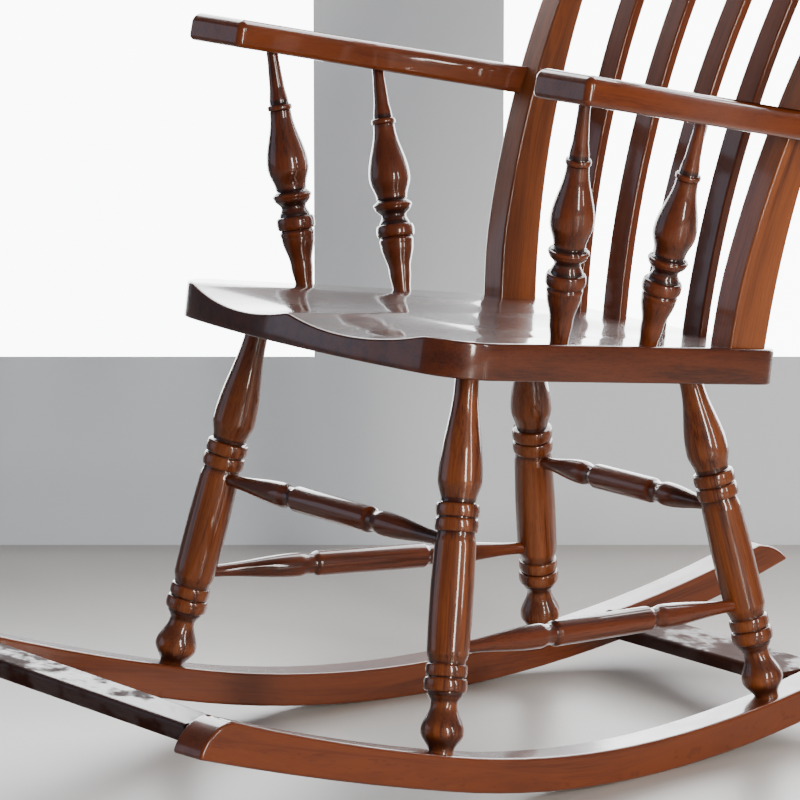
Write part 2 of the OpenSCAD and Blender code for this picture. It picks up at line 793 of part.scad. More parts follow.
module arm_plug_cut() {
  arm_plug_body(fit_round / 2);
  // clears the rounded skin of the arm outside the plug
  arm_plug_frame() translate([0, 0, -5]) cylinder(h = 5 + eps, d = plug_d + fit_round, $fn = 24);
}

module arm_plugs() {
  color(dark) for (m = [0, 1]) mirror([m, 0, 0]) arm_plug_body(0);
}

// ---------------- spindle ----------------
module spindle(a, b, left) {
  len = norm(b - a);
  r = spindle_d / 2;
  f = sp_tenon_d / 2;
  u = sp_top_d / 2;
  k = len / 248;
  color(wood) both(left) stand(a, b) turned(concat(
    [[f - 0.5, -tenon_deep], [f, -tenon_deep + 1], [f, 0]],
    [[r * 0.53, 22 * k], [r * 0.64, 39 * k], [r * 0.8, 53 * k]],
    [[r * 0.83, 56 * k], [r * 0.79, 59 * k]],
    bead(60 * k, 74 * k, r * 0.74, r * 0.92),
    curve(75 * k, r * 0.73, 83 * k, r * 0.6, 5),
    curve(84 * k, r * 0.6, 93 * k, r * 0.88, 5),
    [[r * 0.945, 96 * k], [r * 0.9, 98 * k]],
    curve(98.5 * k, r * 0.84, 102 * k, r * 0.7, 3),
    curve(103 * k, r * 0.74, 127 * k, r, 7),
    curve(128 * k, r, 186 * k, r * 0.52, 10),
    bead(187 * k, 193 * k, r * 0.48, r * 0.59, 6),
    curve(194 * k, r * 0.46, 216 * k, r * 0.35, 4),
    [[u, len - 8], [u, len + sp_top_deep - 1], [u - 0.5, len + sp_top_deep]]
  ), -tenon_deep, len + sp_top_deep);
}

// ---------------- nodes ----------------
hf = on(foot_f, top_f, high_stretch);
hr = on(foot_r, top_r, high_stretch);
sf = on(foot_f, top_f, low_stretch);
sr = on(foot_r, top_r, low_stretch);

seat();
leg(foot_f, top_f, true, true);  // leg_front_left
leg(foot_f, top_f, false, true);  // leg_front_right
leg(foot_r, top_r, true, false);  // leg_rear_left
leg(foot_r, top_r, false, false);  // leg_rear_right
stretcher(hf, mir(hf));  // stretcher_front
stretcher(hr, mir(hr));  // stretcher_rear
stretcher(sf, sr);  // stretcher_left
stretcher(mir(sf), mir(sr));  // stretcher_right
rocker(true);  // rocker_left
rocker(false);  // rocker_right
board(board_front);
board(board_rear);
post(true);  // post_left
post(false);  // post_right
slat(slat_out_x, slat_out_fan, slat_out_turn, false);  // slat_1
slat(slat_in_x, slat_in_fan, slat_in_turn, false);  // slat_2
slat(slat_in_x, slat_in_fan, slat_in_turn, true);  // slat_3
slat(slat_out_x, slat_out_fan, slat_out_turn, true);  // slat_4
crest_rail();
arm(true);  // arm_left
arm(false);  // arm_right
spindle(sp_f0, sp_f1, true);  // spindle_front_left
spindle(sp_f0, sp_f1, false);  // spindle_front_right
spindle(sp_r0, sp_r1, true);  // spindle_rear_left
spindle(sp_r0, sp_r1, false);  // spindle_rear_right
arm_plugs();
board_plugs();
crest_pegs();
foot_screws();
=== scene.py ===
# %% [markdown]
# # A rocking chair in dark gloss lacquer
# Every wooden piece of this chair was shaped in the CAD model, which fixes its size and place. This
# lesson gives those pieces the things that a plain CAD mesh doesn't have: edges eased by a plane and
# sandpaper, turnings with smooth curves, a saddled seat, and a stained and lacquered surface. It
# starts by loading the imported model, so that everything made later can be measured from it.

# %% Load the frame
import math
import random

import bmesh
import bpy
import numpy as np
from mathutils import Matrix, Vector
from mathutils.bvhtree import BVHTree


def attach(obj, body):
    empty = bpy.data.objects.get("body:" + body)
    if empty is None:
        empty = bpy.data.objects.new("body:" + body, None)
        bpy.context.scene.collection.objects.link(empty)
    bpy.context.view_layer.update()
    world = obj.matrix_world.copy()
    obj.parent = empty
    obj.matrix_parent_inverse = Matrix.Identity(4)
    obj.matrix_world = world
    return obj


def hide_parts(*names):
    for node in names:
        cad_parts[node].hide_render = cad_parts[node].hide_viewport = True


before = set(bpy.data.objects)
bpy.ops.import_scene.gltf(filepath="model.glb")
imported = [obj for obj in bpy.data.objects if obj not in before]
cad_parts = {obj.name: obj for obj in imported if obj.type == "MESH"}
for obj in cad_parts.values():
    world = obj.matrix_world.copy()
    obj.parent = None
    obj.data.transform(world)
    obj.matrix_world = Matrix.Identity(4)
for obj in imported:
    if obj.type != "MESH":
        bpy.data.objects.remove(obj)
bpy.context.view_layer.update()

# %% [markdown]
# ## The camera
# A long lens from the sitter's left, a little above the arms, shows the near side of the chair and
# looks slightly down on the seat. The long focal length keeps the near and far legs almost the same
# size, as in a catalogue picture. The view is closer than the whole chair: the crest rail and the
# ends of the rockers run out of the frame.

# %% Camera
camera = bpy.data.objects.new("camera", bpy.data.cameras.new("camera"))
camera.data.sensor_width = 36
camera.data.lens = 231.65
camera.location = (4.1192, -3.2878, 1.3915)
camera.rotation_euler = (math.radians(78.961), 0, math.radians(52.334))
bpy.context.scene.collection.objects.link(camera)
bpy.context.scene.camera = camera
bpy.context.view_layer.update()
view_way = camera.matrix_world.to_3x3() @ Vector((0, 0, -1))
away = Vector((view_way.x, view_way.y, 0)).normalized()
print("camera looks along", [round(c, 3) for c in view_way])

# %% [markdown]
# ## Where the grain runs
# Wood looks like wood because its figure follows the piece: along a leg, around the bend of a slat,
# across a seat. A texture placed by the object's own axes would cut through a leaning leg like a
# saw. So each mesh carries its own grain coordinates, stored on its points: two across the piece and
# one along it. A bent piece first has its bend measured with a low polynomial and taken away, as if
# it were steamed straight again. Each piece also gets its own random place in the tree.

# %% Grain coordinates
MM = 0.001
TREE_SPAN = 4
OFF_AXIS = (0.0, 0.31, 0.95)
tree = random.Random(41)

def long_way(points):
    """The direction in which a cloud of points is longest."""
    spread = points - points.mean(0)
    return np.linalg.svd(spread, full_matrices=False)[2][0]

def lay_grain(mesh, run=None, bend=1):
    """Stores the grain coordinates; bend is the degree of the curve that the piece follows."""
    points = np.array([v.co for v in mesh.vertices])
    run = long_way(points) if run is None else np.array(Vector(run).normalized())
    side = np.cross(run, OFF_AXIS)
    side /= np.linalg.norm(side)
    other = np.cross(run, side)
    middle = points - points.mean(0)
    along = middle @ run
    across = [middle @ side, middle @ other]
    if bend:
        across = [a - np.polyval(np.polyfit(along, a, bend), along) for a in across]
    place = [tree.uniform(-TREE_SPAN, TREE_SPAN) for _ in range(3)]
    grain = np.stack([across[0] + place[0], across[1] + place[1], along + place[2]], axis=1)
    layer = mesh.attributes.new("grain", "FLOAT_VECTOR", "POINT")
    layer.data.foreach_set("vector", grain.astype(np.float32).ravel())

def mark(mesh, name, values):
    """Stores one number per point, such as how deep it lies in a groove."""
    layer = mesh.attributes.new(name, "FLOAT", "POINT")
    layer.data.foreach_set("value", np.asarray(values, np.float32))

print("grain and marks are stored on the points of each piece")

# %% [markdown]
# ## Shared effects as node groups
# The same stain and lacquer are on every piece, so the effects are built once as node groups and
# placed in each material with its own numbers. A few helpers keep that short: one makes a group with
# its sockets, and the others add a sum, a smooth step or a stretched noise to it.

# %% Helpers for node groups
def new_group(name, inputs, outputs):
    """A shader node group with number or colour sockets, and its inner input and output nodes."""
    group = bpy.data.node_groups.new(name, "ShaderNodeTree")
    for socket, kind, value in inputs:
        made = group.interface.new_socket(name=socket, in_out="INPUT", socket_type=kind)
        made.default_value = value
    for socket, kind in outputs:
        group.interface.new_socket(name=socket, in_out="OUTPUT", socket_type=kind)
    return group, group.nodes.new("NodeGroupInput"), group.nodes.new("NodeGroupOutput")

def add(tree_nodes, kind, **settings):
    """A node with its settings and unlinked inputs filled in; input names use spaces as underscores."""
    node = tree_nodes.nodes.new(kind)
    for key, value in settings.items():
        if hasattr(node, key):
            setattr(node, key, value)
        else:
            node.inputs[key.replace("_", " ")].default_value = value
    return node

def math_node(tree_nodes, operation, first, second=0.0, clamp=False):
    """A Math node whose two inputs are sockets or numbers."""
    node = tree_nodes.nodes.new("ShaderNodeMath")
    node.operation = operation
    node.use_clamp = clamp
    for slot_index, value in enumerate((first, second)):
        if isinstance(value, (int, float)):
            node.inputs[slot_index].default_value = value
        else:
            tree_nodes.links.new(value, node.inputs[slot_index])
    return node.outputs[0]

def remap(tree_nodes, value, low, high, to_low=0.0, to_high=1.0):
    """A smooth step of a value between two levels."""
    node = tree_nodes.nodes.new("ShaderNodeMapRange")
    node.interpolation_type = "SMOOTHSTEP"
    for name, number in (("From Min", low), ("From Max", high), ("To Min", to_low), ("To Max", to_high)):
        node.inputs[name].default_value = number
    tree_nodes.links.new(value, node.inputs["Value"])
    return node.outputs["Result"]

def stretched_noise(tree_nodes, vector, scale, stretch, detail, roughness=0.5):
    """Noise drawn out along the third coordinate; stretch is how many times longer than wide."""
    squeeze = tree_nodes.nodes.new("ShaderNodeVectorMath")
    squeeze.operation = "MULTIPLY"
    squeeze.inputs[1].default_value = (scale, scale, scale / stretch)
    tree_nodes.links.new(vector, squeeze.inputs[0])
    noise = add(tree_nodes, "ShaderNodeTexNoise", Scale=1.0, Detail=detail, Roughness=roughness)
    tree_nodes.links.new(squeeze.outputs[0], noise.inputs["Vector"])
    return noise.outputs["Fac"]

NUMBER, COLOUR = "NodeSocketFloat", "NodeSocketColor"
print("node group helpers ready")

# %% [markdown]
# The first group is the figure of the wood: broad growth bands, fine fibres and short dark pores,
# all stretched a long way along the grain. It is noise and not rings, because a dense stained
# hardwood shows streaks far more than it shows rings. Scales are in cells per metre, across the grain.

# %% Figure of the wood
def build_figure():
    group, _, out = new_group("wood figure", [], [("Bands", NUMBER), ("Fibres", NUMBER), ("Pores", NUMBER)])
    grain = add(group, "ShaderNodeAttribute", attribute_name="grain").outputs["Vector"]
    bands = stretched_noise(group, grain, 62, 16, 3.0, 0.55)
    fibres = stretched_noise(group, grain, 520, 42, 2.0, 0.6)
    pores = stretched_noise(group, grain, 1500, 24, 1.0)
    group.links.new(remap(group, bands, 0.33, 0.67), out.inputs["Bands"])
    group.links.new(remap(group, fibres, 0.3, 0.7), out.inputs["Fibres"])
    group.links.new(remap(group, pores, 0.6, 0.7), out.inputs["Pores"])
    return group

figure_group = build_figure()
print("made", figure_group.name)

# %% [markdown]
# A wiping stain soaks in by how open the wood is: it stays dark in the pores and is thin and warm on
# the edges that were rubbed. The grooves of the turnings are darkened too, by how deep they lie.
# The second group mixes three tones of stain by those masks and puts out a colour.

# %% Stain
def mix_colour(tree_nodes, amount, first, second):
    """Mixes two colour sockets or colours by a mask."""
    node = tree_nodes.nodes.new("ShaderNodeMix")
    node.data_type = "RGBA"
    for name, value in (("A", first), ("B", second)):
        socket = [s for s in node.inputs if s.name == name and s.type == "RGBA"][0]
        if isinstance(value, tuple):
            socket.default_value = value
        else:
            tree_nodes.links.new(value, socket)
    tree_nodes.links.new(amount, node.inputs[0])
    return [s for s in node.outputs if s.type == "RGBA"][0]

def build_stain():
    group, given, out = new_group(
        "rubbed stain",
        [("Bands", NUMBER, 0.5), ("Fibres", NUMBER, 0.5), ("Pores", NUMBER, 0.0),
         ("Groove", NUMBER, 0.0), ("Edge", NUMBER, 0.0), ("Contrast", NUMBER, 0.6),
         ("Dark", COLOUR, (0.03, 0.01, 0.006, 1)), ("Body", COLOUR, (0.12, 0.04, 0.02, 1)),
         ("Warm", COLOUR, (0.3, 0.1, 0.03, 1))],
        [("Color", COLOUR)])
    g = given.outputs
    tone = math_node(group, "ADD", math_node(group, "MULTIPLY", g["Bands"], 0.6),
                     math_node(group, "MULTIPLY", g["Fibres"], 0.4))
    toned = mix_colour(group, math_node(group, "MULTIPLY", tone, g["Contrast"]), g["Body"], g["Warm"])
    deep = remap(group, tone, 0.45, 0.05, 0.0, 0.75)
    toned = mix_colour(group, math_node(group, "MULTIPLY", deep, g["Contrast"]), toned, g["Dark"])
    toned = mix_colour(group, math_node(group, "MULTIPLY", g["Pores"], 0.45), toned, g["Dark"])
    toned = mix_colour(group, math_node(group, "MULTIPLY", g["Edge"], 0.35), toned, g["Warm"])
    # The grooves are darkened toward the dark tone by how deep they lie.
    toned = mix_colour(group, math_node(group, "MULTIPLY", g["Groove"], 0.9, clamp=True), toned, g["Dark"])
    group.links.new(toned, out.inputs["Color"])
    return group

stain_group = build_stain()
print("made", stain_group.name)

# %% [markdown]
# The lacquer is never quite even. Hands dull it in soft patches, the brush leaves faint drags along
# the grain, and dust settles in it as tiny nibs. The third group puts out a roughness change, a
# height for the bump and a worn mask.

# %% Handling and brush drag
def build_handling():
    group, _, out = new_group("handled lacquer", [], [("Dull", NUMBER), ("Height", NUMBER), ("Worn", NUMBER)])
    grain = add(group, "ShaderNodeAttribute", attribute_name="grain").outputs["Vector"]
    patches = stretched_noise(group, grain, 17, 1.6, 4.0, 0.62)
    drags = stretched_noise(group, grain, 230, 30, 1.0)
    nibs = stretched_noise(group, grain, 760, 1, 0.0)
    group.links.new(remap(group, patches, 0.42, 0.72), out.inputs["Dull"])
    dust = math_node(group, "MULTIPLY", remap(group, nibs, 0.74, 0.82), 0.35)
    group.links.new(math_node(group, "ADD", drags, dust), out.inputs["Height"])
    group.links.new(remap(group, patches, 0.44, 0.56), out.inputs["Worn"])
    return group

handling_group = build_handling()
print("made", handling_group.name)

# %% [markdown]
# ## The lacquered wood
# Each kind of piece has its own material, because each is cut from different stock and handled
# differently: the turnings are bright and warm, the seat is the darkest and smoothest, and the front
# board has lost its gloss under people's heels. The gloss is a clear coat over a duller, stained
# surface, which is what lacquer is. Where the coat is worn away, the bare stain is rough and dark.
# The coat's roughness is a plain number on the shader, so that it survives an export.

# %% Lacquer
LACQUER_IOR, WOOD_IOR, WOOD_SHINE = 1.5, 1.46, 0.2
BUMP_HEIGHT = 0.25 * MM

def place_group(material, group, **values):
    node = material.node_tree.nodes.new("ShaderNodeGroup")
    node.node_tree = group
    for key, value in values.items():
        node.inputs[key].default_value = value
    return node

def lacquer(name, dark, body, warm, contrast=0.6, under=0.38, coat=0.9, coat_rough=0.06, bump=0.12, worn=0.0):
    """Stained wood under a clear coat; worn is how far the coat has gone in patches."""
    material = bpy.data.materials.new(name)
    material.use_nodes = True
    nodes, link = material.node_tree, material.node_tree.links.new
    shader = nodes.nodes["Principled BSDF"]
    figure = place_group(material, figure_group)
    stain = place_group(material, stain_group, Dark=dark, Body=body, Warm=warm, Contrast=contrast)
    handling = place_group(material, handling_group)
    for socket in ("Bands", "Fibres", "Pores"):
        link(figure.outputs[socket], stain.inputs[socket])
    for attribute, socket in (("groove", "Groove"), ("edge", "Edge")):
        link(add(nodes, "ShaderNodeAttribute", attribute_name=attribute).outputs["Fac"], stain.inputs[socket])
    link(stain.outputs["Color"], shader.inputs["Base Color"])
    rough = math_node(nodes, "MULTIPLY", handling.outputs["Dull"], 0.12)
    rough = math_node(nodes, "ADD", rough, math_node(nodes, "MULTIPLY", figure.outputs["Pores"], 0.08))
    lost = math_node(nodes, "MULTIPLY", handling.outputs["Worn"], worn)
    rough = math_node(nodes, "ADD", rough, math_node(nodes, "MULTIPLY", lost, 0.4))
    link(math_node(nodes, "ADD", rough, under), shader.inputs["Roughness"])
    dulled = math_node(nodes, "MULTIPLY", handling.outputs["Dull"], 0.15)
    kept = math_node(nodes, "SUBTRACT", math_node(nodes, "SUBTRACT", coat, dulled), lost, clamp=True)
    link(kept, shader.inputs["Coat Weight"])
    shader.inputs["Coat Roughness"].default_value = coat_rough
    shader.inputs["Coat IOR"].default_value = LACQUER_IOR
    shader.inputs["IOR"].default_value = WOOD_IOR
    shader.inputs["Specular IOR Level"].default_value = WOOD_SHINE
    height = math_node(nodes, "ADD", handling.outputs["Height"],
                       math_node(nodes, "MULTIPLY", figure.outputs["Pores"], -0.5))
    relief = nodes.nodes.new("ShaderNodeBump")
    relief.inputs["Strength"].default_value = bump
    relief.inputs["Distance"].default_value = BUMP_HEIGHT
    link(height, relief.inputs["Height"])
    link(relief.outputs["Normal"], shader.inputs["Normal"])
    return material

print("lacquer of refractive index", LACQUER_IOR, "over wood")

# %% [markdown]
# The tones run from the ink of an unsanded groove to the amber of a rubbed edge. Each kind of piece
# takes three of them: the dark of its pores, the body of the stain, and the warm wood that shows
# through. Contrast says how far the figure moves between them.

# %% Finishes
INK = (0.016, 0.006, 0.005, 1)
UMBER = (0.030, 0.007, 0.004, 1)
CHERRY = (0.084, 0.018, 0.006, 1)
RUSSET = (0.20, 0.045, 0.010, 1)
AMBER = (0.30, 0.083, 0.019, 1)
BROWN = (0.062, 0.014, 0.0055, 1)

finish = {
    "seat": lacquer("seat lacquer", INK, BROWN, RUSSET, 0.38, 0.34, coat=1.0, coat_rough=0.1, bump=0.16),
    "legs": lacquer("leg lacquer", UMBER, CHERRY, AMBER, 0.75),
    "stretchers": lacquer("stretcher lacquer", INK, CHERRY, RUSSET, 0.6),
    "rockers": lacquer("rocker lacquer", UMBER, CHERRY, RUSSET, 0.7, coat_rough=0.1),
    "cross_boards": lacquer("foot board lacquer", INK, UMBER, BROWN, 0.8, 0.5,
                            coat=0.45, coat_rough=0.26, bump=0.6, worn=0.62),
    "posts": lacquer("post lacquer", UMBER, CHERRY, AMBER, 0.7, coat_rough=0.08),
    "slats": lacquer("slat lacquer", UMBER, CHERRY, RUSSET, 0.65, coat_rough=0.08),
    "crest": lacquer("crest lacquer", UMBER, CHERRY, RUSSET, 0.65, coat_rough=0.08),
    "arms": lacquer("arm lacquer", UMBER, CHERRY, RUSSET, 0.7, 0.32, coat_rough=0.05),
    "spindles": lacquer("spindle lacquer", INK, CHERRY, RUSSET, 0.7),
    "plugs": lacquer("plug lacquer", INK, UMBER, CHERRY, 0.6),
}
print("lacquers:", ", ".join(sorted(finish)))

# %% [markdown]
# The screws that hold the feet are the only metal. They sit deep in the underside of the rockers.
# Turned steel has fine scratches around it and a little dirt, which a noise on roughness gives.

# %% Screw steel
STEEL, RUST = (0.42, 0.38, 0.3, 1), (0.14, 0.09, 0.05, 1)

def screw_steel():
    material = bpy.data.materials.new("screw steel")
    material.use_nodes = True
    nodes, link = material.node_tree, material.node_tree.links.new
    shader = nodes.nodes["Principled BSDF"]
    place = nodes.nodes.new("ShaderNodeTexCoord").outputs["Object"]
    scratches = stretched_noise(nodes, place, 2600, 0.1, 2.0)
    dirt = remap(nodes, stretched_noise(nodes, place, 190, 1, 3.0), 0.45, 0.7)
    link(mix_colour(nodes, dirt, STEEL, RUST), shader.inputs["Base Color"])
    rough = math_node(nodes, "ADD", math_node(nodes, "MULTIPLY", scratches, 0.3), 0.18)
    link(rough, shader.inputs["Roughness"])
    link(remap(nodes, dirt, 0.0, 1.0, 1.0, 0.5), shader.inputs["Metallic"])
    return material

finish["screws"] = screw_steel()
print("made", finish["screws"].name)

# %% [markdown]
# ## Making a piece stand for its CAD node
# A finished mesh takes over from its CAD node in one step: it rides on the same body, hides the
# node, and names the finish slot. Smooth shading with normals weighted by face size keeps the flats
# flat while the rounded edges turn the light.

# %% From mesh to piece
def finish_piece(mesh, node, slot_name, weighted=True):
    """Turns a finished mesh into the piece that stands for a CAD node."""
    mesh.materials.clear()
    mesh.materials.append(finish[slot_name])
    piece = bpy.data.objects.new(node + "_finished", mesh)
    bpy.context.scene.collection.objects.link(piece)
    mesh.polygons.foreach_set("use_smooth", [True] * len(mesh.polygons))
    if weighted:
        even = piece.modifiers.new("even normals", "WEIGHTED_NORMAL")
        even.keep_sharp = True
    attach(piece, "root")
    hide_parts(node)

print("pieces ride on root and hide their CAD nodes")

# %% [markdown]
# ## Turned pieces
# Legs, stretchers and spindles come off a lathe: a profile of coves, beads and long tapers, the same
# all the way round. The CAD node says where its axis is, so the two ends are measured there. Then
# the profile is swept around the axis with many small steps, because a gloss finish shows every
# facet as a kink in its highlight. The steps are stations: a height from the foot and a radius.

# %% Lathe
SIDES = 72
CAP_SLICE = 0.3 * MM
TURNED_CRISP = math.radians(38)

def axis_of(node):
    """The middles of the two end faces of a turned CAD node, lower end first."""
    points = np.array([v.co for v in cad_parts[node].data.vertices])
    run = long_way(points)
    for _ in range(3):
        ends = []
        for way in (-1, 1):
            reach = points @ run * way
            cap = points[reach > reach.max() - CAP_SLICE]
            ends.append((cap.min(0) + cap.max(0)) / 2)
        run = (ends[1] - ends[0]) / np.linalg.norm(ends[1] - ends[0])
    ends.sort(key=lambda p: p[2])
    return Vector(ends[0]), Vector(ends[1])

def ease(t):
    """Runs from 0 to 1 with a level start and end."""
    return (1 - math.cos(math.pi * t)) / 2

def sweep(z0, r0, z1, r1, steps=16):
    """Stations that ease from one radius to the next."""
    return [(z0 + (z1 - z0) * i / steps, r0 + (r1 - r0) * ease(i / steps)) for i in range(steps + 1)]

def bead(z0, z1, neck, full, steps=18):
    """A round bead that stands out from a neck."""
    rise = full - neck
    return [(z0 + (z1 - z0) * ease(i / steps), neck + rise * math.sqrt(max(0, math.sin(math.pi * i / steps))))
            for i in range(steps + 1)]

def groove_depth(heights, radii, reach=6.0, full=2.6):
    """How deep each station lies below the fuller wood beside it, from 0 to 1."""
    depths = []
    for height, radius in zip(heights, radii):
        near = radii[np.abs(heights - height) < reach]
        depths.append(min(1, max(0, (np.percentile(near, 80) - radius) / full)) ** 1.3)
    return depths

print("the lathe turns", SIDES, "sides")

# %% [markdown]
# Turning a piece is then a matter of placing a ring of points at every station and joining each ring
# to the next, with a fan of faces on the two ends. Each station is marked by how far it lies below the
# fuller wood beside it, and the coves are darkened by that mark.

# %% Turn a piece
def lathe_faces(rings):
    """The faces of a lathe mesh: a fan at the foot, bands between the rings, and a fan at the head."""
    faces = [(0, 1 + (k + 1) % SIDES, 1 + k) for k in range(SIDES)]
    for ring in range(rings - 1):
        base = 1 + ring * SIDES
        for k in range(SIDES):
            after = (k + 1) % SIDES
            faces.append((base + k, base + after, base + SIDES + after, base + SIDES + k))
    last = 1 + (rings - 1) * SIDES
    return faces + [(last + SIDES, last + k, last + (k + 1) % SIDES) for k in range(SIDES)]

def turn(node, slot_name, stations, start):
    """Sweeps stations, in millimetres from the foot, around the axis of a CAD node."""
    low, high = axis_of(node)
    run = (high - low).normalized()
    side = run.orthogonal().normalized()
    other = run.cross(side)
    foot = low - run * start * MM
    stations = sorted(stations, key=lambda s: s[0])
    heights = np.array([s[0] for s in stations])
    radii = np.array([s[1] for s in stations])
    points = [foot + run * heights[0] * MM]
    for height, radius in stations:
        centre = foot + run * height * MM
        for k in range(SIDES):
            angle = 2 * math.pi * k / SIDES
            points.append(centre + (side * math.cos(angle) + other * math.sin(angle)) * radius * MM)
    points.append(foot + run * heights[-1] * MM)
    mesh = bpy.data.meshes.new(node + "_turned")
    mesh.from_pydata(points, [], lathe_faces(len(stations)))
    lay_grain(mesh, run, bend=0)
    mark(mesh, "groove", [0] + [g for g in groove_depth(heights, radii) for _ in range(SIDES)] + [0])
    mark(mesh, "edge", [0] * len(points))
    mesh.set_sharp_from_angle(angle=TURNED_CRISP)
    finish_piece(mesh, node, slot_name, weighted=False)

print("turnings are crisp past", round(math.degrees(TURNED_CRISP)), "degrees")

# %% [markdown]
# A leg starts at the rocker with a small ball, then a pair of beads, a long straight barrel, two
# more beads and a vase that narrows into the seat. The heights were set out with dividers on a
# story stick, which is why all four legs agree and only the length of the vase differs.

# %% Legs
LEG_R = 22.0
LEG_TENON_R = 12.25
FOOT_DOWEL_R = 7.0
FOOT_DOWEL = 26
LEG_NECK = 10
TENON = 25

def leg_stations(length):
    r, ankle, waist, cove = LEG_R, LEG_R * 0.57, LEG_R * 0.61, LEG_R * 0.84
    foot = ([(-FOOT_DOWEL, FOOT_DOWEL_R), (-6.01, FOOT_DOWEL_R), (-6, ankle), (0, ankle)]
            + sweep(0.1, ankle, 20, r, 20) + sweep(21, r, 48, waist, 24) + sweep(49, waist, 60, cove, 12)
            + bead(60.5, 74.5, cove, r) + bead(75.5, 88, cove, r * 0.96))
    barrel = (sweep(88.5, cove, 101, r * 0.975, 14)
              + [(110, r * 0.985), (130, r), (165, r), (190, r * 0.97), (205, r * 0.95)]
              + sweep(207, r * 0.95, 218.5, r * 0.87, 10))
    vase = (bead(219.5, 233.5, r * 0.86, r) + bead(234.5, 248, r * 0.86, r)
            + sweep(249, r * 0.8, 271, r * 1.02, 20)
            + sweep(272, r * 1.02, length - LEG_NECK, LEG_TENON_R, 40))
    return foot + barrel + vase + [(length + TENON - 1, LEG_TENON_R), (length + TENON, LEG_TENON_R - 1)]

for end in ("front", "rear"):
    for hand in ("left", "right"):
        node = f"leg_{end}_{hand}"
        low, high = axis_of(node)
        length = (high - low).length / MM - FOOT_DOWEL - TENON
        turn(node, "legs", leg_stations(length), -FOOT_DOWEL)
        print(node, "length between its shoulders", round(length, 1), "mm")

# %% [markdown]
# A stretcher is a cigar with a groove cut on each side of its plain middle. Both halves are mirror
# images, so the profile is written from one end and turned around for the other.

# %% Stretchers
STRETCH_R = 13.5
STRETCH_TENON_R = 6.5
STRETCH_SHOULDER = 21
STRETCH_START = 6
GROOVE_AT = 0.325

def stretcher_stations(length):
    r, q, g = STRETCH_R, STRETCH_TENON_R, length * GROOVE_AT
    half = ([(STRETCH_START, q), (STRETCH_SHOULDER, q)]
            + sweep(STRETCH_SHOULDER + 0.5, q, g - 16, r * 0.95, 30)
            + sweep(g - 15, r * 0.95, g - 2, r * 0.8, 12) + sweep(g + 2, r * 0.8, g + 10, r, 12))
    return half + [(length - z, radius) for z, radius in reversed(half)]

for name in ("front", "rear", "left", "right"):
    node = "stretcher_" + name
    low, high = axis_of(node)
    length = (high - low).length / MM + 2 * STRETCH_START
    turn(node, "stretchers", stretcher_stations(length), STRETCH_START)
    print(node, "between leg centres", round(length, 1), "mm")

# %% [markdown]
# An arm spindle is the showpiece of the turner: a flared foot, a bead, a cove with a sharp-edged
# ball, and a long pear that runs up into a thin neck with one small ring. Its heights are shares of
# its length, so the front and rear ones match although the arm slopes.

# %% Arm spindles
SPINDLE_R = 22.25
SPINDLE_TENON_R = 9.5
SPINDLE_TOP_R = 6.25
SPINDLE_PATTERN = 248
SPINDLE_TOP = 15

def spindle_stations(length):
    r, k = SPINDLE_R, length / SPINDLE_PATTERN
    pattern = (
        sweep(1, SPINDLE_TENON_R / r, 22, 0.53, 10) + sweep(22.5, 0.532, 53, 0.8, 16)
        + sweep(53.3, 0.81, 56, 0.83, 6) + sweep(56.3, 0.83, 59, 0.78, 6)
        + bead(60, 74, 0.74, 0.92) + sweep(75, 0.73, 83, 0.6, 12) + sweep(84, 0.6, 93, 0.88, 14)
        + sweep(93.2, 0.89, 96, 0.945, 5) + sweep(96.2, 0.945, 98, 0.9, 4)
        + sweep(98.5, 0.84, 102, 0.7, 8) + sweep(103, 0.74, 127, 1, 26)
        + sweep(128, 1, 186, 0.52, 40) + bead(187, 193, 0.48, 0.59, 12) + sweep(194, 0.46, 216, 0.35, 14))
    body = [(z * k, share * r) for z, share in pattern]
    foot = [(-TENON, SPINDLE_TENON_R - 0.5), (-TENON + 1, SPINDLE_TENON_R), (0, SPINDLE_TENON_R)]
    head = [(length - 8, SPINDLE_TOP_R), (length + SPINDLE_TOP - 1, SPINDLE_TOP_R),
            (length + SPINDLE_TOP, SPINDLE_TOP_R - 0.5)]
    return foot + body + head

for end in ("front", "rear"):
    for hand in ("left", "right"):
        node = f"spindle_{end}_{hand}"
        low, high = axis_of(node)
        length = (high - low).length / MM - TENON - SPINDLE_TOP
        turn(node, "spindles", spindle_stations(length), -TENON)
        print(node, "length", round(length, 1), "mm")

# %% [markdown]
# ## Sawn and bent pieces
# The arms, posts, slats, rockers and boards are sawn or steamed from plank, and then every edge is
# eased with a spokeshave. Their shapes are right in the CAD model, so each is copied from there. The
# many small triangles of its flats are merged, and its sharp outer edges are rounded with a bevel of
# several steps. Edges around a peg or against a neighbour stay crisp, as a joiner leaves them.

# %% Easing edges
CRISP = math.radians(25)
EASED_CRISP = math.radians(40)
SAME_PLANE = math.radians(0.25)
SAME_POINT = 0.01 * MM
SHORTEST = 1.9 * MM

def near_node(name, reach):
    """A test of whether a point lies within reach of a CAD node."""
    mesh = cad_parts[name].data
    faces = BVHTree.FromPolygons([v.co for v in mesh.vertices], [tuple(p.vertices) for p in mesh.polygons])
    return lambda point: faces.find_nearest(point, reach)[0] is not None

def edge_middle(edge):
    return (edge.verts[0].co + edge.verts[1].co) / 2

def is_outer(edge):
    if len(edge.link_faces) != 2 or edge.calc_length() < SHORTEST:
        return False
    return edge.calc_face_angle_signed(0) > CRISP

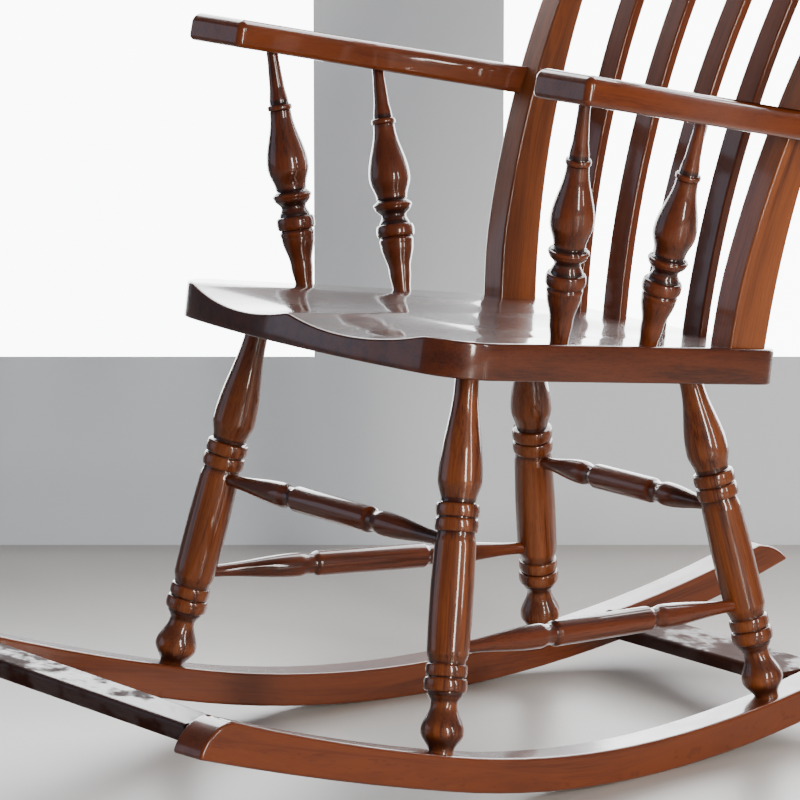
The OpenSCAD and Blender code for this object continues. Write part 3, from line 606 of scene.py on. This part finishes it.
def soften(node, slot_name, rounds, run=None, bend=1, leave=()):
    """Copies a CAD node, rounds its outer edges and finishes it. rounds holds (radius, steps, test)."""
    shape = bmesh.new()
    shape.from_mesh(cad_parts[node].data)
    bmesh.ops.remove_doubles(shape, verts=shape.verts, dist=SAME_POINT)
    bmesh.ops.dissolve_limit(shape, angle_limit=SAME_PLANE, verts=shape.verts, edges=shape.edges)
    worn = shape.verts.layers.float.new("edge")
    for radius, steps, test in rounds:
        picked = [e for e in shape.edges if is_outer(e) and test(e)]
        picked = [e for e in picked if not any(close(edge_middle(e)) for close in leave)]
        made = bmesh.ops.bevel(shape, geom=picked, offset=radius, segments=steps, profile=0.5,
                               affect="EDGES", clamp_overlap=False)
        for vert in made["verts"]:
            vert[worn] = 1.0
    bmesh.ops.recalc_face_normals(shape, faces=shape.faces)
    mesh = bpy.data.meshes.new(node + "_eased")
    shape.to_mesh(mesh)
    shape.free()
    lay_grain(mesh, run, bend)
    mark(mesh, "groove", [0] * len(mesh.vertices))
    mesh.set_sharp_from_angle(angle=EASED_CRISP)
    finish_piece(mesh, node, slot_name)
    print(node, "faces", len(mesh.polygons))

def anywhere(edge):
    return True

print("edges sharper than", round(math.degrees(CRISP)), "degrees are eased")

# %% [markdown]
# The rockers are cut from wide boards and their long edges are only just broken. The cross boards
# that join them in front and behind have thumb-rounded edges.

# %% Rockers and cross boards
def runs_sideways(edge):
    return abs(edge.verts[0].co.y - edge.verts[1].co.y) < 0.1 * MM

for hand in ("left", "right"):
    soften("rocker_" + hand, "rockers", [(3.5 * MM, 4, anywhere)], bend=3,
           leave=[near_node("board_front", 2 * MM), near_node("board_rear", 2 * MM)])
for end, radius in (("front", 5.0), ("rear", 3.0)):
    soften("board_" + end, "cross_boards", [(radius * MM, 4, runs_sideways)], run=(1, 0, 0), bend=0)

# %% [markdown]
# The four slats and the two posts are steamed to the same curve. The slats are rounded a little all
# round; the posts keep a firmer edge, and both run into the crest rail at the top.

# %% Slats, posts and crest rail
for number in range(1, 5):
    soften(f"slat_{number}", "slats", [(2.6 * MM, 4, anywhere)], bend=3)
for hand in ("left", "right"):
    soften("post_" + hand, "posts", [(3.0 * MM, 4, anywhere)], bend=3,
           leave=[near_node("crest_rail", 1 * MM), near_node("arm_plugs", 2 * MM)])
soften("crest_rail", "crest", [(4.5 * MM, 5, anywhere)], run=(1, 0, 0), bend=2,
       leave=[near_node("post_left", 2 * MM), near_node("post_right", 2 * MM)]
       + [near_node(f"slat_{n}", 2 * MM) for n in range(1, 5)])

# %% [markdown]
# An arm is what hands touch most. Its upper edge is rounded over generously, its lower edge a
# little less, and where it laps over the post its edges stay square so that the joint is tight.

# %% Arms
ARM_TOP_ROUND, ARM_UNDER_ROUND = 11.0 * MM, 6.0 * MM
LEVEL = 0.9

def on_top(edge):
    return max(f.normal.z for f in edge.link_faces) > LEVEL

def underneath(edge):
    return min(f.normal.z for f in edge.link_faces) < -LEVEL

for hand in ("left", "right"):
    soften("arm_" + hand, "arms", [(ARM_TOP_ROUND, 8, on_top), (ARM_UNDER_ROUND, 6, underneath)], bend=2,
           leave=[near_node("post_" + hand, 6 * MM)])

# %% [markdown]
# ## The saddled seat
# The seat is one thick board, tilted back, with two thigh hollows at the front, a ridge between
# them and a shallow dish behind. A carved surface shows in its reflections, so it is worth making
# as a fine grid whose heights come from a formula: two broad cylinders and a sphere, taken out of a
# flat board, with the ridges between them blended softly. The outline is measured from the CAD
# seat by looking at it from all sides, and smoothed.

# %% Measure the outline of the seat
SEAT_T = 37.5 * MM
SEAT_TILT = math.radians(8)
SEAT_PLANE = 453.2 * MM
LOOK_STEPS = 2880
SMOOTH_SPAN = 20
seat_up = Vector((0, math.sin(SEAT_TILT), math.cos(SEAT_TILT)))
seat_back_way = Vector((0, math.cos(SEAT_TILT), -math.sin(SEAT_TILT)))
seat_origin = Vector((0, 0, SEAT_PLANE))

def seat_point(u, v, w):
    """A point of the seat from its own coordinates: across, toward the back, above the board."""
    return seat_origin + Vector((u, 0, 0)) + seat_back_way * v + seat_up * w

def seat_outline():
    """One dense loop of points on the side of the seat, seen from all round a point inside it."""
    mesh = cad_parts["seat"].data
    wall = BVHTree.FromPolygons([v.co for v in mesh.vertices], [tuple(p.vertices) for p in mesh.polygons])
    inside = seat_point(0, 0, -0.8 * SEAT_T)
    dense = []
    for k in range(LOOK_STEPS):
        angle = math.radians(360 * k / LOOK_STEPS)
        way = Vector((math.cos(angle), 0, 0)) + seat_back_way * math.sin(angle)
        hit = wall.ray_cast(inside + way, -way)[0] - inside
        dense.append((hit.x, hit.dot(seat_back_way)))
    return np.array(dense)

dense = seat_outline()
window = np.exp(-np.linspace(-2, 2, 2 * SMOOTH_SPAN + 1) ** 2)
window /= window.sum()
padded = np.concatenate([dense[-SMOOTH_SPAN:], dense, dense[:SMOOTH_SPAN]])
smooth = np.stack([np.convolve(padded[:, i], window, "valid") for i in (0, 1)], axis=1)
print("outline", smooth.min(0).round(4), smooth.max(0).round(4))

# %% [markdown]
# A scoop is part of a cylinder as long as a thigh, and the dish is part of a large sphere. The lower
# of them wins at each spot, with a soft blend between, as a scraper leaves the ridges.

# %% Heights of the saddle
SCOOP_X, SCOOP_R, SCOOP_DEEP = 90 * MM, 400 * MM, 15 * MM
SCOOP_RISE = math.tan(math.radians(1.9))
SEAT_FRONT = 255 * MM
DISH_R, DISH_DEEP, DISH_BACK = 900 * MM, 9 * MM, 20 * MM
RIDGE = 2.2 * MM

def soft_lower(first, second):
    """The lower of two heights, with a soft blend where they meet."""
    share = np.clip(0.5 + 0.5 * (second - first) / RIDGE, 0, 1)
    return second * (1 - share) + first * share - RIDGE * share * (1 - share)

def saddle(u, v):
    deep = SCOOP_R - SCOOP_DEEP + SCOOP_RISE * (v + SEAT_FRONT)
    left = deep - np.sqrt(SCOOP_R ** 2 - (u - SCOOP_X) ** 2)
    right = deep - np.sqrt(SCOOP_R ** 2 - (u + SCOOP_X) ** 2)
    dish = DISH_R - DISH_DEEP - np.sqrt(DISH_R ** 2 - u ** 2 - (v - DISH_BACK) ** 2)
    return soft_lower(soft_lower(left, right), soft_lower(dish, 0.0))

print("saddle depth at a thigh hollow:", round(float(saddle(SCOOP_X, -0.2)) / MM, 1), "mm")

# %% [markdown]
# A square grid is bent to fill the outline, so that there is no pole in the middle where faces
# bunch up. The cells on its border are found on the outline by their direction from the middle.

# %% Border of the grid
HALF = 64
SIZE = 2 * HALF

def outline_at(i, j):
    """The point of the outline in the direction of a grid corner."""
    turned = math.atan2(j - HALF, i - HALF) % (2 * math.pi)
    place = turned / (2 * math.pi) * len(smooth)
    low = int(place) % len(smooth)
    part = place - int(place)
    return smooth[low] * (1 - part) + smooth[(low + 1) % len(smooth)] * part

def border_spots():
    """The grid corners on the border, once around."""
    return ([(SIZE, k) for k in range(SIZE)] + [(SIZE - k, SIZE) for k in range(SIZE)]
            + [(0, SIZE - k) for k in range(SIZE)] + [(k, 0) for k in range(SIZE)])

border = border_spots()
loop = np.array([outline_at(i, j) for i, j in border])
along = np.roll(loop, -1, 0) - np.roll(loop, 1, 0)
along /= np.linalg.norm(along, axis=1)[:, None]
inward = np.stack([-along[:, 1], along[:, 0]], axis=1)
print("border points", len(border))

# %% [markdown]
# The seat is then laid up from three moves: a grid that fills a loop, a ring at some inset and
# height, and a band of faces between two rings. The border of the top steps over the rounded rim,
# down the wall and in under the board.

# %% Grids, rings and bands
seat_points, seat_faces = [], []

def grid_spot(i, j, rim):
    """Where a grid corner goes: its share of the way from the middle to the rim."""
    reach = max(abs(i - HALF), abs(j - HALF))
    if reach == 0:
        return 0.0, 0.0
    x = HALF + (i - HALF) * HALF / reach
    y = HALF + (j - HALF) * HALF / reach
    low_spot = (math.floor(x), math.floor(y))
    high_spot = (math.ceil(x), math.ceil(y))
    part = max(x - low_spot[0], y - low_spot[1])
    return (rim[low_spot] * (1 - part) + rim[high_spot] * part) * reach / HALF

def fill(inset, height, turned_up):
    """The square grid inside the loop; its border repeats the ring at that inset."""
    rim = {spot: loop[k] + inward[k] * inset for k, spot in enumerate(border)}
    first, step = len(seat_points), SIZE + 1
    for i in range(step):
        for j in range(step):
            u, v = grid_spot(i, j, rim)
            seat_points.append(seat_point(u, v, height(np.array([[u, v]]))[0]))
    for i in range(SIZE):
        for j in range(SIZE):
            corner = first + i * step + j
            quad = (corner, corner + step, corner + step + 1, corner + 1)
            seat_faces.append(quad if turned_up else quad[::-1])

def ring(inset, height):
    """A loop of points at an inset and a height; gives the number of its first point."""
    first = len(seat_points)
    flat = loop + inward * inset
    seat_points.extend(seat_point(u, v, w) for (u, v), w in zip(flat, height(flat)))
    return first

def bridge(upper, lower):
    """A band of faces between two rings."""
    for k in range(len(border)):
        after = (k + 1) % len(border)
        seat_faces.append((upper + k, lower + k, lower + after, upper + after))

print("grid of", SIZE, "by", SIZE, "cells")

# %% Build the seat
RIM = 3.2 * MM
FOOT_RIM = 2.4 * MM
RIM_STEPS = 6
WELD = 0.02 * MM
rim_turns = [math.pi / 2 * k / RIM_STEPS for k in range(RIM_STEPS + 1)]

def carved(flat):
    return saddle(flat[:, 0], flat[:, 1])

def level(height):
    return lambda flat: np.full(len(flat), height)

fill(RIM, carved, True)
rings = []
for turned in rim_turns:
    drop = RIM * (1 - math.cos(turned))
    rings.append(ring(RIM * (1 - math.sin(turned)), lambda flat: carved(flat) - drop))
for turned in rim_turns:
    height = -SEAT_T + FOOT_RIM * (1 - math.sin(turned))
    rings.append(ring(FOOT_RIM * (1 - math.cos(turned)), level(height)))
for upper, lower in zip(rings, rings[1:]):
    bridge(upper, lower)
fill(FOOT_RIM, level(-SEAT_T), False)
seat_mesh = bpy.data.meshes.new("seat_carved")
seat_mesh.from_pydata(seat_points, [], seat_faces)
print("seat points before welding", len(seat_points))

# %% Weld and finish the seat
weld = bmesh.new()
weld.from_mesh(seat_mesh)
bmesh.ops.remove_doubles(weld, verts=weld.verts, dist=WELD)
bmesh.ops.recalc_face_normals(weld, faces=weld.faces)
open_edges = sum(1 for e in weld.edges if len(e.link_faces) != 2)
weld.to_mesh(seat_mesh)
weld.free()
lay_grain(seat_mesh, seat_back_way, bend=0)
mark(seat_mesh, "groove", [0] * len(seat_mesh.vertices))
mark(seat_mesh, "edge", [0] * len(seat_mesh.vertices))
finish_piece(seat_mesh, "seat", "seat", weighted=False)
print("seat faces", len(seat_mesh.polygons), "open edges", open_edges)

# %% [markdown]
# ## Plugs, pegs and screws
# These are small and already the right shape in the CAD model, so they stay as they are and only
# get a finish.

# %% Small fastenings
for name, slot_name in (("arm_plugs", "plugs"), ("board_plugs", "plugs"), ("crest_pegs", "plugs"),
                        ("foot_screws", "screws")):
    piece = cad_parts[name]
    piece.data.materials.clear()
    piece.data.materials.append(finish[slot_name])
    print(name, "gets", finish[slot_name].name)

# %% [markdown]
# ## Stage and light
# The chair stands on a plain pale floor before a plain pale backdrop. A dark gloss finish is mostly
# reflection, so the stage is made for what each surface mirrors. The backdrop is one-sided: seen
# from behind it lets the view through, so that the chair can be looked at from all round.

# %% Stage surfaces
FLOOR_TONE, WALL_TONE = (0.62, 0.585, 0.54, 1), (0.62, 0.66, 0.70, 1)

def plain_surface(name, colour, roughness, mottle, glow=0.0):
    """A plain surface whose colour is mottled a little, with a faint glow if asked."""
    material = bpy.data.materials.new(name)
    material.use_nodes = True
    nodes, link = material.node_tree, material.node_tree.links.new
    shader = nodes.nodes["Principled BSDF"]
    place = nodes.nodes.new("ShaderNodeTexCoord").outputs["Object"]
    cloud = stretched_noise(nodes, place, 3.1, 1, 5.0, 0.6)
    darker = tuple(c * (1 - mottle) for c in colour[:3]) + (1,)
    link(mix_colour(nodes, remap(nodes, cloud, 0.3, 0.7), darker, colour), shader.inputs["Base Color"])
    shader.inputs["Roughness"].default_value = roughness
    if glow:
        shader.inputs["Emission Color"].default_value = colour
        shader.inputs["Emission Strength"].default_value = glow
    return material

def see_through_back(material):
    """Lets a sheet vanish when it is seen from behind."""
    nodes, link = material.node_tree, material.node_tree.links.new
    shader, out = nodes.nodes["Principled BSDF"], nodes.nodes["Material Output"]
    clear = nodes.nodes.new("ShaderNodeBsdfTransparent")
    either = nodes.nodes.new("ShaderNodeMixShader")
    link(nodes.nodes.new("ShaderNodeNewGeometry").outputs["Backfacing"], either.inputs["Fac"])
    link(shader.outputs["BSDF"], either.inputs[1])
    link(clear.outputs["BSDF"], either.inputs[2])
    link(either.outputs["Shader"], out.inputs["Surface"])

floor_material = plain_surface("pale floor", FLOOR_TONE, 0.38, 0.06)
wall_material = plain_surface("pale backdrop", WALL_TONE, 0.8, 0.02, glow=0.22)
see_through_back(wall_material)
print("stage surfaces:", floor_material.name, "and", wall_material.name)

# %% Floor and backdrop
FLOOR_HALF = 7.0
WALL_BEHIND, WALL_LEFT, WALL_RIGHT, WALL_TALL = 0.93, -0.85, 1.5, 2.4
wall_foot = away * WALL_BEHIND
wall_way = Vector((away.y, -away.x, 0))

def stage_sheet(name, corners, material):
    mesh = bpy.data.meshes.new(name)
    mesh.from_pydata(corners, [], [(0, 1, 2, 3)])
    mesh.materials.append(material)
    sheet = bpy.data.objects.new(name, mesh)
    bpy.context.scene.collection.objects.link(sheet)

floor_corners = [Vector((x, y, 0)) * FLOOR_HALF for x, y in ((-1, -1), (1, -1), (1, 1), (-1, 1))]
stage_sheet("floor", floor_corners, floor_material)
left, right = wall_foot + wall_way * WALL_LEFT, wall_foot + wall_way * WALL_RIGHT
rise = Vector((0, 0, WALL_TALL))
stage_sheet("backdrop", [left, right, right + rise, left + rise], wall_material)
print("floor", 2 * FLOOR_HALF, "m wide, backdrop", WALL_TALL, "m tall")

# %% [markdown]
# The near faces are lit warm by a tall narrow window on the right and its side pane, which give the
# long streaks on the turnings. The front faces look into a dim, cool room, so they take only a large
# weak bluish light. A ceiling bounce and a light from the rear keep the other sides readable.

# %% Window and room lights
WARM_DAY, SOFT_DAY, COOL_DAY = (1.0, 0.93, 0.84), (1.0, 0.95, 0.9), (0.70, 0.80, 1.0)
REAR_DAY, CEILING_WHITE = (1.0, 0.97, 0.94), (1, 0.98, 0.95)
sitting = (0, 0, 0.5)

def soft_light(name, place, aim, width, height, power, colour, seen=False):
    """A rectangle of light, in metres and watts, turned toward a point."""
    light = bpy.data.lights.new(name, "AREA")
    light.shape = "RECTANGLE"
    light.size, light.size_y = width, height
    light.energy = power
    light.color = colour
    lamp = bpy.data.objects.new(name, light)
    lamp.location = place
    lamp.rotation_euler = (Vector(aim) - Vector(place)).to_track_quat("-Z", "Y").to_euler()
    lamp.visible_camera = seen
    bpy.context.scene.collection.objects.link(lamp)
    return lamp

soft_light("near window", (3.9, -0.75, 1.35), sitting, 0.42, 1.9, 130, WARM_DAY)
soft_light("near window side pane", (3.7, 1.15, 1.35), sitting, 0.24, 1.7, 45, SOFT_DAY)
soft_light("cool room ahead", (-3.2, -4.2, 1.3), sitting, 3.6, 2.4, 26, COOL_DAY)
soft_light("rear fill", (-2.6, 3.6, 2.2), sitting, 1.6, 1.2, 22, REAR_DAY)
soft_light("ceiling bounce", (-0.9, 0.9, 2.5), (0, 0, 0.2), 1.6, 1.6, 5, CEILING_WHITE)
print("lights so far:", len(bpy.data.lights))

# %% [markdown]
# Two glowing panels on the backdrop are what the seat and the rockers mirror. A panel bright enough
# to be mirrored well would wash out the wood, so each is two lights in one place: a strong one that
# is only seen and mirrored, and a weaker one that only lights.

# %% Panels on the backdrop
PANEL_BOTTOM, PANEL_TOP, PANEL_GLOW, PANEL_FILL = 0.24, 2.3, 10, 0.3
PANEL_STAND_OFF = 0.02
PANEL_WHITE = (0.96, 0.98, 1.0)

def light_panel(name, low_side, high_side):
    """A panel from one distance across the backdrop to another."""
    wide, tall = high_side - low_side, PANEL_TOP - PANEL_BOTTOM
    place = wall_foot + wall_way * (low_side + wide / 2) - away * PANEL_STAND_OFF
    place += Vector((0, 0, PANEL_BOTTOM + tall / 2))
    power = PANEL_GLOW * math.pi * wide * tall
    shine = soft_light(name + " shine", place, place - away, wide, tall, power, PANEL_WHITE, seen=True)
    shine.visible_diffuse = False
    wash = soft_light(name + " fill", place, place - away, wide, tall, power * PANEL_FILL, PANEL_WHITE)
    wash.visible_glossy = False

light_panel("left panel", -0.8, -0.19)
light_panel("right panel", 0.04, 1.4)
print("lights:", len(bpy.data.lights))

# %% [markdown]
# The room itself is dim, so that nothing fills the dark faces. Where a view looks past the stage it
# would see that dimness, so what is seen directly is a pale plain tone instead.

# %% Room
DIM_TONE, DIM_STRENGTH, PALE_TONE = (0.52, 0.55, 0.66, 1), 0.2, (0.62, 0.64, 0.67, 1)

def build_room():
    world = bpy.data.worlds.new("dim room")
    world.use_nodes = True
    nodes, link = world.node_tree.nodes, world.node_tree.links.new
    dim = nodes["Background"]
    dim.inputs["Color"].default_value = DIM_TONE
    dim.inputs["Strength"].default_value = DIM_STRENGTH
    pale = nodes.new("ShaderNodeBackground")
    pale.inputs["Color"].default_value = PALE_TONE
    either = nodes.new("ShaderNodeMixShader")
    link(nodes.new("ShaderNodeLightPath").outputs["Is Camera Ray"], either.inputs["Fac"])
    link(dim.outputs["Background"], either.inputs[1])
    link(pale.outputs["Background"], either.inputs[2])
    link(either.outputs["Shader"], nodes["World Output"].inputs["Surface"])
    return world

bpy.context.scene.world = build_room()
print("room strength", DIM_STRENGTH)
